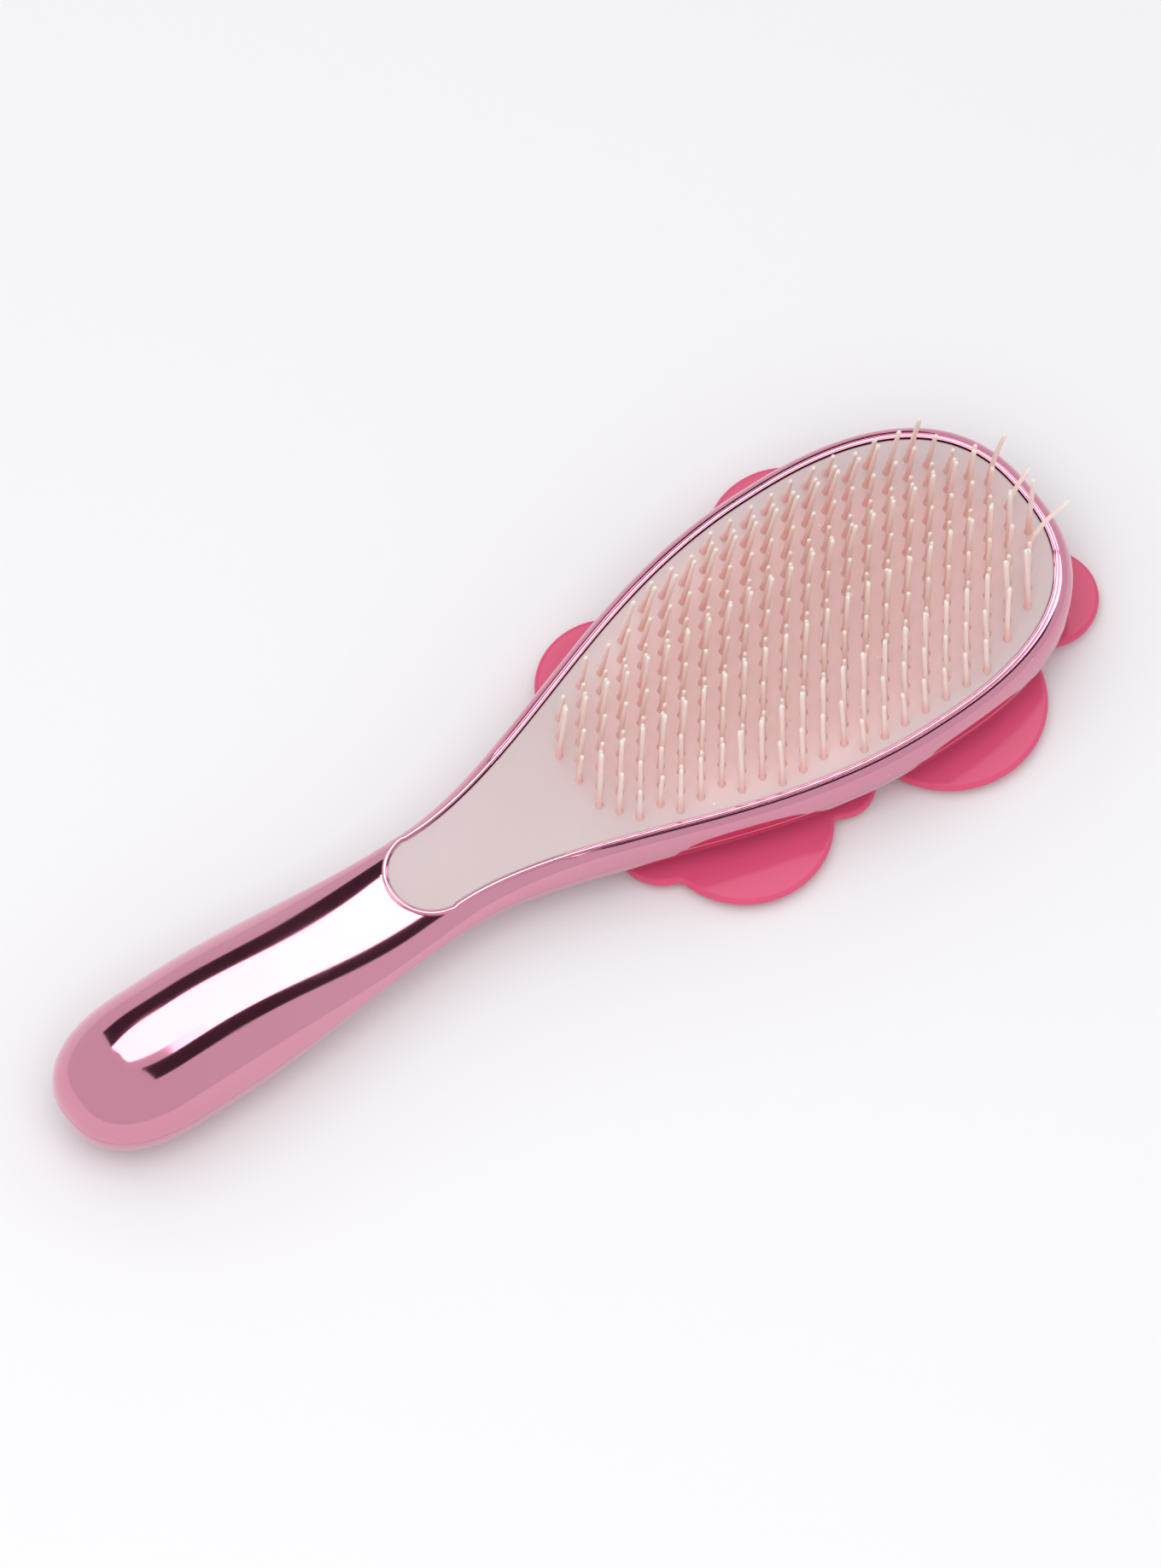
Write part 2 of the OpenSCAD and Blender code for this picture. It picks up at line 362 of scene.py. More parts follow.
def new_group(name: str, inputs: dict[str, object], outputs: dict[str, str]) -> Group:
    """Starts a shader node group.

    Args:
        name: Name of the group.
        inputs: Default value of each input: a number or a colour.
        outputs: Socket type of each output.

    Returns:
        The tree, its graph, its input node and its output node.
    """
    tree = bpy.data.node_groups.new(name, "ShaderNodeTree")
    for key, value in inputs.items():
        kind = "NodeSocketFloat" if isinstance(value, float) else "NodeSocketColor"
        tree.interface.new_socket(name=key, in_out="INPUT", socket_type=kind).default_value = value
    for key, kind in outputs.items():
        tree.interface.new_socket(name=key, in_out="OUTPUT", socket_type=kind)
    graph = Graph(tree)
    return tree, graph, tree.nodes.new("NodeGroupInput"), tree.nodes.new("NodeGroupOutput")


class SharedEffects:
    """The effects that more than one finish uses, each built once as a node group."""

    HAIR_SCALE: float = 420.0
    HAIR_STRETCH: Point = (0.12, 1.6, 1.0)
    HAIR_SPAN: Span = (0.62, 0.78)
    HAIR_DEPTH: float = 0.5
    MARK_SPAN: Span = (0.3, 0.9)
    DRIFT_SPAN: Span = (0.35, 0.65)
    DUSTY_SCALE: float = 70.0
    DUSTY_ABOVE: float = 0.56

    def __init__(self) -> None:
        """Builds the groups."""
        self.grain = self.build_grain()
        self.marks = self.build_marks()
        self.drift = self.build_drift()
        self.specks = self.build_specks()

    @staticmethod
    def noise(graph: Graph, scale: object, detail: float,
              stretch: Point = (1, 1, 1)) -> bpy.types.NodeSocket:
        """Noise in the object's own space.

        Args:
            graph: Tree to add to.
            scale: Cycles in a metre.
            detail: Number of finer layers.
            stretch: Scale along each direction.

        Returns:
            The noise value's output.
        """
        place = graph.add("ShaderNodeTexCoord")
        turned = graph.add("ShaderNodeMapping", Vector=place.outputs["Object"], Scale=stretch)
        return graph.add("ShaderNodeTexNoise", Vector=turned.outputs[0], Scale=scale,
                         Detail=detail).outputs[0]

    def build_grain(self) -> bpy.types.NodeTree:
        """The slight unevenness of a moulded surface, as a height.

        Returns:
            The group's tree.
        """
        tree, graph, given, out = new_group(
            "moulding grain", {"Scale": 900.0, "Broad Scale": 60.0, "Broad Share": 0.5},
            {"Height": "NodeSocketFloat"})
        fine = self.noise(graph, given.outputs["Scale"], 3.0)
        broad = self.noise(graph, given.outputs["Broad Scale"], 1.0)
        both = graph.add("ShaderNodeMix")
        graph.feed(both.inputs[0], given.outputs["Broad Share"])
        graph.feed(both.inputs[2], fine)
        graph.feed(both.inputs[3], broad)
        graph.feed(out.inputs["Height"], both.outputs[0])
        return tree

    def build_marks(self) -> bpy.types.NodeTree:
        """Faint smears and hairline scratches of use, as a roughness.

        Returns:
            The group's tree.
        """
        tree, graph, given, out = new_group(
            "handling marks", {"Low": 0.1, "High": 0.2, "Scale": 45.0},
            {"Roughness": "NodeSocketFloat"})
        smear = self.noise(graph, given.outputs["Scale"], 4.0)
        hair = self.noise(graph, self.HAIR_SCALE, 2.0, self.HAIR_STRETCH)
        both = graph.sum("ADD", smear, graph.ramp(hair, self.HAIR_SPAN, high=self.HAIR_DEPTH), clamp=True)
        graph.feed(out.inputs["Roughness"],
                   graph.ramp(both, self.MARK_SPAN, given.outputs["Low"], given.outputs["High"]))
        return tree

    def build_drift(self) -> bpy.types.NodeTree:
        """A slow change between two near colours.

        Returns:
            The group's tree.
        """
        tree, graph, given, out = new_group(
            "colour drift",
            {"Colour": (0.5, 0.5, 0.5, 1.0), "Other": (0.5, 0.5, 0.5, 1.0), "Scale": 25.0},
            {"Colour": "NodeSocketColor"})
        slow = self.noise(graph, given.outputs["Scale"], 2.0)
        share = graph.ramp(slow, self.DRIFT_SPAN)
        graph.feed(out.inputs["Colour"],
                   graph.blend(given.outputs["Colour"], given.outputs["Other"], share))
        return tree

    def build_specks(self) -> bpy.types.NodeTree:
        """Small dust specks, as a mask.

        Returns:
            The group's tree.
        """
        tree, graph, given, out = new_group(
            "dust specks", {"Scale": 240.0, "Size": 0.09}, {"Mask": "NodeSocketFloat"})
        place = graph.add("ShaderNodeTexCoord")
        cells = graph.add("ShaderNodeTexVoronoi", Vector=place.outputs["Object"],
                          Scale=given.outputs["Scale"])
        near = graph.sum("LESS_THAN", cells.outputs["Distance"], given.outputs["Size"])
        dusty = graph.sum("GREATER_THAN", self.noise(graph, self.DUSTY_SCALE, 1.0), self.DUSTY_ABOVE)
        graph.feed(out.inputs["Mask"], graph.sum("MULTIPLY", near, dusty))
        return tree


@dataclass(frozen=True)
class Finish:
    """One finish: two near base colours, gloss limits, metal, coat and grain."""

    name: str
    colour: Colour
    other: Colour
    low_gloss: float
    high_gloss: float
    metallic: float = 0.0
    coat: float = 0.0
    grain_scale: float = 900.0
    grain_depth: float = 0.00001
    grain_strength: float = 0.15
    broad_share: float = 0.5
    broad_scale: float = 60.0
    dust: Colour = (0.86, 0.82, 0.8)
    dust_size: float = 0.035
    glow: float = 0.0
    foot: Colour | None = None
    foot_from: float = 0.02
    foot_reach: float = 0.35
    tip: Colour = (1.0, 1.0, 1.0)
    tip_span: Span = (0.88, 0.97)
    specular: float = 0.5
    # painted bounce light: a lighter, pinker patch of colour over the bristle field, standing in for light
    # thrown by the bristles and lifting the shade among them
    painted_bounce: Colour | None = None
    painted_bounce_middle: Point = (0.0, 0.0, 0.0)
    painted_bounce_reach: Point = (1.0, 1.0, 1.0)
    painted_bounce_span: Span = (0.7, 1.08)
    coat_roughness: float = 0.04
    glow_radius: Point = (0.9, 0.5, 0.4)
    glow_depth: float = 0.0012

    def foot_and_tip(self, graph: Graph, colour: bpy.types.NodeSocket) -> bpy.types.NodeSocket:
        """Gives the foot and the tip of each bristle a colour of their own.

        Args:
            graph: Tree to add to.
            colour: The colour between them.

        Returns:
            The result's output.
        """
        along = graph.add("ShaderNodeAttribute", {"attribute_name": "along"}).outputs["Fac"]
        share = graph.ramp(along, (self.foot_from, self.foot_reach), soft=True)
        colour = graph.blend((*self.foot, 1.0), colour, share)
        return graph.blend(colour, (*self.tip, 1.0), graph.ramp(along, self.tip_span, soft=True))

    def paint_bounce_patch(self, graph: Graph, colour: bpy.types.NodeSocket) -> bpy.types.NodeSocket:
        """Adds a painted patch of bounce light: a lighter, pinker ellipsoid with a soft edge that stands in
        for the pink light the bristles throw and lifts the shade between them.

        Args:
            graph: Tree to add to.
            colour: The colour outside it.

        Returns:
            The result's output.
        """
        spot = graph.add("ShaderNodeTexCoord")
        off = graph.add("ShaderNodeVectorMath", {"operation": "SUBTRACT"})
        graph.feed(off.inputs[0], spot.outputs["Object"])
        off.inputs[1].default_value = self.painted_bounce_middle
        part = graph.add("ShaderNodeVectorMath", {"operation": "DIVIDE"})
        graph.feed(part.inputs[0], off.outputs[0])
        part.inputs[1].default_value = self.painted_bounce_reach
        far = graph.add("ShaderNodeVectorMath", {"operation": "LENGTH"})
        graph.feed(far.inputs[0], part.outputs[0])
        share = graph.ramp(far.outputs["Value"], self.painted_bounce_span, 1.0, 0.0, soft=True)
        return graph.blend(colour, (*self.painted_bounce, 1.0), share)

    def make(self, effects: SharedEffects) -> bpy.types.Material:
        """Builds the material.

        Args:
            effects: The shared node groups.

        Returns:
            The new material.
        """
        material = bpy.data.materials.new(self.name)
        material.use_nodes = True
        graph = Graph(material.node_tree)
        shader = material.node_tree.nodes["Principled BSDF"]
        drift = graph.group(effects.drift, Colour=(*self.colour, 1.0), Other=(*self.other, 1.0))
        colour = drift.outputs["Colour"]
        if self.foot is not None:
            colour = self.foot_and_tip(graph, colour)
        # paint the patch of bounce light and lifted shade over the bristle field
        if self.painted_bounce is not None:
            colour = self.paint_bounce_patch(graph, colour)
        specks = graph.group(effects.specks, Size=self.dust_size)
        colour = graph.blend(colour, (*self.dust, 1.0), specks.outputs["Mask"])
        marks = graph.group(effects.marks, Low=self.low_gloss, High=self.high_gloss)
        grain = graph.group(effects.grain, Scale=self.grain_scale)
        grain.inputs["Broad Share"].default_value = self.broad_share
        grain.inputs["Broad Scale"].default_value = self.broad_scale
        bump = graph.add("ShaderNodeBump", Height=grain.outputs["Height"], Strength=self.grain_strength,
                         Distance=self.grain_depth)
        graph.feed(shader.inputs["Base Color"], colour)
        graph.feed(shader.inputs["Roughness"], marks.outputs["Roughness"])
        graph.feed(shader.inputs["Normal"], bump.outputs[0])
        shader.inputs["Metallic"].default_value = self.metallic
        shader.inputs["Coat Weight"].default_value = self.coat
        shader.inputs["Coat Roughness"].default_value = self.coat_roughness
        shader.inputs["Specular IOR Level"].default_value = self.specular
        if self.glow > 0:
            shader.inputs["Subsurface Weight"].default_value = self.glow
            shader.inputs["Subsurface Radius"].default_value = self.glow_radius
            shader.inputs["Subsurface Scale"].default_value = self.glow_depth
        return material


PLATED = Finish("plated_pink", (0.72, 0.31, 0.41), (0.69, 0.28, 0.38), 0.07, 0.13, metallic=1.0, coat=0.5,
                grain_depth=0.00002, grain_strength=0.05, broad_share=0.85, broad_scale=40.0)
# the satin panel carries a painted patch of pink bounce light over the bristle field, which also lightens
# the shade between the bristles
SATIN = Finish("satin_panel", (0.59, 0.475, 0.475), (0.575, 0.455, 0.455), 0.36, 0.5, grain_scale=2600.0,
               grain_strength=0.25, broad_share=0.2, glow=0.12, dust_size=0.05,
               painted_bounce=(0.8, 0.57, 0.55), painted_bounce_middle=(0.056, -0.001, 0.0185), painted_bounce_reach=(0.054, 0.029, 1.0))
NYLON = Finish("bristle_nylon", (0.86, 0.69, 0.64), (0.83, 0.66, 0.61), 0.42, 0.55, specular=0.16,
               grain_scale=3000.0, grain_strength=0.1, broad_share=0.2, glow=0.5, dust_size=0.0,
               foot=(0.88, 0.53, 0.49), foot_reach=0.5, tip=(0.82, 0.74, 0.67))
RASPBERRY = Finish("raspberry_gloss", (0.74, 0.095, 0.21), (0.7, 0.085, 0.19), 0.1, 0.2, specular=0.22,
                   grain_strength=0.1, broad_share=0.8, broad_scale=55.0)
BLOSSOM = Finish("blossom_gloss", (0.74, 0.2, 0.32), (0.68, 0.16, 0.27), 0.14, 0.26, coat=0.4,
                 grain_strength=0.1, broad_share=0.7)
GEM = Finish("gem_gloss", (0.86, 0.42, 0.53), (0.78, 0.33, 0.46), 0.03, 0.07, coat=1.0, grain_strength=0.02,
             dust_size=0.0)
STEEL = Finish("screw_steel", (0.58, 0.58, 0.6), (0.5, 0.5, 0.51), 0.25, 0.42, metallic=1.0,
               grain_scale=1800.0, grain_strength=0.2, dust_size=0.0)


def dress(piece: bpy.types.Object, material: bpy.types.Material) -> None:
    """Gives a piece one material."""
    piece.data.materials.clear()
    piece.data.materials.append(material)


def place(piece: bpy.types.Object, node: str, slot: str) -> bpy.types.Object:
    """Fixes a piece to the body in the place of a CAD node, and logs it.

    Args:
        piece: The finished piece.
        node: The node that it stands for.
        slot: The record's material slot; not used.

    Returns:
        The same piece.
    """
    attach(piece, "root")
    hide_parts(node)
    LOG.info("%s stands for %s, %d faces", piece.name, node, len(piece.data.polygons))
    return piece


# --------------------------------------------------------------------------- the body's form


@dataclass(frozen=True)
class BodyForm:
    """Sizes and outline of the whole body, in millimetres from the tip of the handle."""

    body_len: float = 227.0
    head_w: float = 66.4
    head_round: float = 46.7
    grip_w: float = 29.9
    grip_t: float = 25.2
    neck_w: float = 23.4
    wall: float = 2.2
    back_z: float = 4.3
    panel_z: float = 18.5
    rim_z: float = 18.8
    part_z: float = 13.0
    neck_z: float = 7.9
    rim_w: float = 3.5
    panel_t: float = 2.1
    panel_gap: float = 0.15
    deck_t: float = 2.4
    panel_start: float = 76.5
    grip_round: float = 22.0
    grip_x: float = 30.0
    neck_x: float = 87.0
    neck_low_x: float = 74.0
    back_flat_x: float = 130.0
    centre_pull: float = 0.35
    tip_centre: float = 20.0
    box_lead: float = 20.0
    box_over: float = 50.0
    cap_n: float = 2.4
    head_n: float = 2.5
    flare: float = 0.874
    front_n: float = 2.6
    back_n: float = 2.4
    front_round: float = 3.4
    back_round_share: float = 0.75
    least_flat: float = 0.6
    groove: float = 0.14
    deck_lead: float = 10.0
    ellipse_n: float = 2.0
    cap_steps: int = 26
    mid_steps: int = 96
    head_steps: int = 34
    side_steps: int = 18
    end_steps: int = 16

    @property
    def head_x(self) -> float:
        """Place of the widest point of the head."""
        return self.body_len - self.head_round

    @property
    def pocket_z(self) -> float:
        """Height of the panel's underside."""
        return self.panel_z - self.panel_t

    @property
    def deck_z(self) -> float:
        """Height of the deck's underside."""
        return self.pocket_z - self.deck_t

    def half_w(self, x: float) -> float:
        """Half the width at a place along the body, up to the widest point of the head.

        Args:
            x: Place along the body.

        Returns:
            Half the width.
        """
        if x <= self.neck_x:
            return mix(self.grip_w, self.neck_w, ease((x - self.grip_x) / (self.neck_x - self.grip_x))) / 2
        share = (x - self.neck_x) / (self.head_x - self.neck_x)
        return mix(self.neck_w, self.head_w, math.sin(math.pi / 2 * share ** self.flare) ** 2) / 2

    def boxed(self, x: float) -> float:
        """How far the section has turned from the handle's ellipse to the head's flat box."""
        return ease((x - self.neck_x + self.box_lead) / self.box_over)

    def top_at(self, x: float) -> float:
        """Height of the body's top."""
        return mix(self.grip_t, self.rim_z, ease((x - self.grip_x) / (self.panel_start - self.grip_x)))

    def low_at(self, x: float) -> float:
        """Height of the body's underside.

        Args:
            x: Place along the body.

        Returns:
            Height above the floor.
        """
        if x < self.neck_low_x:
            return mix(0.0, self.neck_z, ease((x - self.grip_x) / (self.neck_low_x - self.grip_x)))
        return mix(self.neck_z, self.back_z,
                   ease((x - self.neck_low_x) / (self.back_flat_x - self.neck_low_x)))

    def stations(self, inset: float) -> list[tuple[Spot, float]]:
        """The outline at an inset.

        Args:
            inset: Distance in from the body's edge.

        Returns:
            Pairs of an edge point and the place on the centre line where its section starts.
        """
        found = []
        for i in range(self.cap_steps):
            q = math.pi / 2 * i / self.cap_steps
            edge = (self.grip_round - (self.grip_round - inset) * power(math.cos(q), self.cap_n),
                    (self.grip_w / 2 - inset) * power(math.sin(q), self.cap_n))
            found.append((edge, self.grip_round * (1 - self.centre_pull * math.cos(q))))
        for i in range(self.mid_steps + 1):
            x = mix(self.grip_round, self.head_x, i / self.mid_steps)
            found.append(((x, self.half_w(x) - inset), x))
        for i in range(self.head_steps - 1, -1, -1):
            q = math.pi / 2 * i / self.head_steps
            edge = (self.head_x + (self.head_round - inset) * power(math.cos(q), self.head_n),
                    (self.head_w / 2 - inset) * power(math.sin(q), self.head_n))
            found.append((edge, self.head_x + (self.head_round - self.tip_centre) * math.cos(q)))
        return found

    def cover_wall(self, x: float, half: Half) -> float:
        """Thickness of a cover over its hollow; the front one thickens into the panel's deck.

        Args:
            x: Place along the body.
            half: Which half of the body.

        Returns:
            The thickness.
        """
        if half is Half.BACK:
            return self.wall
        deck = self.rim_z - self.deck_z
        reach = self.panel_start - self.deck_lead - self.grip_x
        return mix(self.wall, deck, ease((x - self.grip_x) / reach))

    def section(self, station: tuple[Spot, float], inset: float, half: Half) -> list[Point]:
        """One cross-section of a cover, from the joint line to the middle of its flat.

        Args:
            station: Edge point and the place on the centre line that the section starts from.
            inset: Distance in from the outer surface; 0 for the outer surface itself.
            half: Which half of the body.

        Returns:
            Points on the side of positive y.
        """
        (ex, ey), x = station
        reach = math.hypot(ex - x, ey)
        front = half is Half.FRONT
        box = self.boxed(x)
        n = mix(self.ellipse_n, self.front_n if front else self.back_n, box)
        full = reach - self.least_flat
        flat_turn = min(full, self.front_round) if front else full * self.back_round_share
        turn = mix(full, flat_turn, box)
        thick = self.cover_wall(x, half) if inset else 0.0
        rise = (self.top_at(x) - self.part_z if front else self.part_z - self.low_at(x)) - thick
        found = []
        if not inset:
            lead = 1 - self.groove / reach
            found.append((x + (ex - x) * lead, ey * lead, self.part_z))
            found.append((ex, ey, self.part_z + half.value * self.groove))
        else:
            found.extend([(ex, ey, self.part_z)] * 2)
        for k in range(1, self.side_steps + 1):
            q = math.pi / 2 * k / self.side_steps
            share = 1 - turn / reach * (1 - power(math.cos(q), n))
            found.append((x + (ex - x) * share, ey * share,
                          self.part_z + half.value * rise * power(math.sin(q), n)))
        found.append((x, 0.0, self.part_z + half.value * rise))
        return found

    def cover(self, half: Half) -> Draft:
        """A hollow half body with a fine groove along the line where the halves meet.

        Args:
            half: Which half of the body.

        Returns:
            The closed mesh draft.
        """
        draft = Draft()
        skins = []
        for inset in (0.0, self.wall):
            rows = []
            for station in self.stations(inset):
                side = self.section(station, inset, half)
                other = [(x, -y, z) for x, y, z in reversed(side[:-1])]
                rows.append(draft.ring(side + other))
            for a, b in zip(rows, rows[1:]):
                draft.bridge(a, b, closed=False)
            skins.append(rows)
        for outer, inner in zip(*(zip(rows, rows[1:]) for rows in skins)):
            for end in (0, -1):
                draft.faces.append([outer[0][end], outer[1][end], inner[1][end], inner[0][end]])
        return draft

    def panel_outline(self, inset: float, start: float) -> list[Spot]:
        """The bristle panel's outline at an inset from the body's edge.

        Args:
            inset: Distance in from the body's edge.
            start: Place of the narrow end.

        Returns:
            Points all the way round.
        """
        r = self.half_w(self.panel_start) - inset
        side = []
        for k in range(self.end_steps):
            q = math.pi / 2 * k / self.end_steps
            side.append((start + r * (1 - math.cos(q)), r * math.sin(q)))
        for i in range(self.mid_steps + 1):
            x = mix(start + r, self.head_x, i / self.mid_steps)
            side.append((x, self.half_w(x) - inset))
        steps = 2 * self.head_steps
        for i in range(steps - 1, -1, -1):
            q = math.pi / 2 * i / steps
            side.append((self.head_x + (self.head_round - inset) * power(math.cos(q), self.head_n),
                         (self.head_w / 2 - inset) * power(math.sin(q), self.head_n)))
        return side + [(x, -y) for x, y in reversed(side[1:-1])]

    def around_panel(self, draft: Draft, profile: list[Spot], closed: bool) -> None:
        """Sweeps a profile round the bristle panel.

        Args:
            draft: Draft to add to.
            profile: Distance outside the panel's edge and height, point by point.
            closed: Whether the profile closes on itself; else both ends are capped.
        """
        rings = []
        for out, z in profile:
            line = self.panel_outline(self.rim_w - out, self.panel_start - out)
            rings.append(draft.ring([(x, y, z) for x, y in line]))
        draft.skin(rings, closed)


# --------------------------------------------------------------------------- the covers and panel


@dataclass(frozen=True)
class Fasteners:
    """Places and sizes of the hidden screws and pegs, in millimetres."""

    form: BodyForm
    screw_d: float = 2.0
    screw_head_d: float = 4.2
    fit: float = 0.05
    head_sink: float = 1.3
    screw_len: float = 5.6
    boss_d: float = 6.4
    peg_d: float = 3.0
    peg_l: float = 1.6
    hold_boss_d: float = 7.0
    seat_z: float = 3.9
    hold_floor: float = 7.1
    hold_tip: float = 0.6
    hold_gap: float = 17.0
    flower_back: float = 14.0
    neck_screw: float = 8.0
    waist_screw_y: float = 11.0
    head_screw: Spot = (12.0, 20.0)
    neck_peg: float = 24.0
    side_peg: Spot = (-22.0, 17.0)
    tip_peg: float = 30.0

    @property
    def screw_spots(self) -> list[Spot]:
        """Places of the screws that join the covers.

        Returns:
            Places along and across the body.
        """
        f = self.form
        on, aside = self.head_screw
        return [(f.panel_start + self.neck_screw, 0),
                (f.back_flat_x, self.waist_screw_y), (f.back_flat_x, -self.waist_screw_y),
                (f.head_x + on, aside), (f.head_x + on, -aside)]

    @property
    def peg_spots(self) -> list[Spot]:
        """Places of the pegs that seat the panel.

        Returns:
            Places along and across the body.
        """
        f = self.form
        on, aside = self.side_peg
        return [(f.panel_start + self.neck_peg, 0), (f.head_x + on, aside), (f.head_x + on, -aside),
                (f.head_x + self.tip_peg, 0)]

    @property
    def hold_spots(self) -> list[Spot]:
        """Places of the screws that hold the ornament."""
        middle = self.form.head_x - self.flower_back
        return [(middle - self.hold_gap, 0), (middle + self.hold_gap, 0)]

    @property
    def hole_r(self) -> float:
        """Radius of a hole for a screw's shank."""
        return self.screw_d / 2 + self.fit


@dataclass(frozen=True)
class Covers:
    """The two halves of the body and the bright bead around the panel."""

    form: BodyForm
    fasteners: Fasteners
    bead_w: float = 0.85
    bead_rise: float = 0.1
    bead_root: float = 0.5
    bead_flat: float = 0.62
    bead_steps: int = 12
    bead_crease: float = 60.0
    channel_w: float = 0.2
    channel_deep: float = 0.3
    point_r: float = 0.02

    def front(self, material: bpy.types.Material) -> bpy.types.Object:
        """Builds the front cover, with the panel's pocket, its holes and the channel outside the bead.

        Args:
            material: Finish that it is dressed in.

        Returns:
            The finished piece.
        """
        f = self.form
        piece = f.cover(Half.FRONT).build("front_cover")
        pocket = Draft()
        f.around_panel(pocket, [(f.panel_gap, f.pocket_z), (f.panel_gap, f.rim_z + OVER)], closed=False)
        cut(piece, pocket.build("pocket"))
        channel = Draft()
        start = f.panel_gap + self.bead_w
        end = start + self.channel_w
        low, high = f.rim_z - self.channel_deep, f.rim_z + OVER
        f.around_panel(channel, [(start, low), (end, low), (end, high), (start, high)], closed=True)
        cut(piece, channel.build("channel"))
        holes = Draft()
        s = self.fasteners
        low, high = f.deck_z - OVER, f.pocket_z + OVER
        head_r, head_z = s.screw_head_d / 2 + 2 * s.fit, f.pocket_z - s.head_sink
        peg_r = s.peg_d / 2 + s.fit
        for spot in s.screw_spots:
            holes.lathe([(s.hole_r, low), (s.hole_r, head_z), (head_r, head_z), (head_r, high)], spot,
                        closed=False)
        for spot in s.peg_spots:
            holes.lathe([(peg_r, low), (peg_r, high)], spot, closed=False)
        cut(piece, holes.build("holes"))
        dress(piece, material)
        return place(piece, "front_shell", "plated_shell")

    def bead(self, material: bpy.types.Material) -> bpy.types.Object:
        """Builds the bright half-round bead at the edge of the pocket.

        Args:
            material: Finish that it is dressed in.

        Returns:
            The finished piece.
        """
        f = self.form
        draft = Draft()
        r = self.bead_w / 2
        top = f.rim_z + self.bead_rise
        profile = [(f.panel_gap, f.rim_z - self.bead_root)]
        for k in range(self.bead_steps + 1):
            q = math.pi * k / self.bead_steps
            profile.append((f.panel_gap + r - r * math.cos(q),
                            top - r * self.bead_flat * (1 - math.sin(q))))
        profile.append((f.panel_gap + self.bead_w, f.rim_z - self.bead_root))
        f.around_panel(draft, profile, closed=True)
        piece = draft.build("rim_bead", crease=self.bead_crease)
        dress(piece, material)
        return place(piece, "front_shell", "plated_shell")

    def back(self, material: bpy.types.Material) -> bpy.types.Object:
        """Builds the back cover with its screw bosses and the seats of the ornament.

        Args:
            material: Finish that it is dressed in.

        Returns:
            The finished piece.
        """
        f = self.form
        s = self.fasteners
        draft = f.cover(Half.BACK)
        for spot in s.screw_spots:
            foot = f.low_at(spot[0]) + f.wall / 2
            bottom = f.pocket_z - s.head_sink - s.screw_len
            draft.lathe([(s.boss_d / 2, foot), (s.boss_d / 2, f.deck_z), (s.hole_r, f.deck_z),
                         (s.hole_r, bottom), (self.point_r, bottom)], spot, closed=False)
        for spot in s.hold_spots:
            draft.lathe([(s.hold_boss_d / 2, s.seat_z), (s.hold_boss_d / 2, s.hold_floor),
                         (s.hole_r, s.hold_floor), (s.hole_r, s.seat_z)], spot)
        piece = draft.build("back_cover")
        dress(piece, material)
        return place(piece, "back_shell", "plated_shell")


@dataclass(frozen=True)
class PanelPad:
    """The satin panel that carries the bristles, with a softly rounded edge."""

    form: BodyForm
    fasteners: Fasteners
    edge_r: float = 0.4
    edge_steps: int = 5
    peg_chamfer: float = 0.3
    peg_root: float = 0.1

    def build(self, material: bpy.types.Material) -> bpy.types.Object:
        """Builds and dresses the panel and its pegs.

        Args:
            material: Finish that it is dressed in.

        Returns:
            The finished piece.
        """
        f = self.form
        profile = [(0.0, f.pocket_z)]
        for k in range(self.edge_steps + 1):
            q = math.pi / 2 * k / self.edge_steps
            profile.append((-self.edge_r * (1 - math.cos(q)),
                            f.panel_z - self.edge_r * (1 - math.sin(q))))
        draft = Draft()
        f.around_panel(draft, profile, closed=False)
        r = self.fasteners.peg_d / 2
        low = f.pocket_z - self.fasteners.peg_l
        for spot in self.fasteners.peg_spots:
            draft.lathe([(r - self.peg_chamfer, low), (r, low + self.peg_chamfer),
                         (r, f.pocket_z + self.peg_root)], spot, closed=False)
        piece = draft.build("panel_pad")
        dress(piece, material)
        return place(piece, "bristle_panel", "panel")


# --------------------------------------------------------------------------- the bristles


@dataclass(frozen=True)
class Stray:
    """A bristle that use has bent: the nearest one to a spot, and how far its tip is pushed."""

    near: Spot
    push: Spot


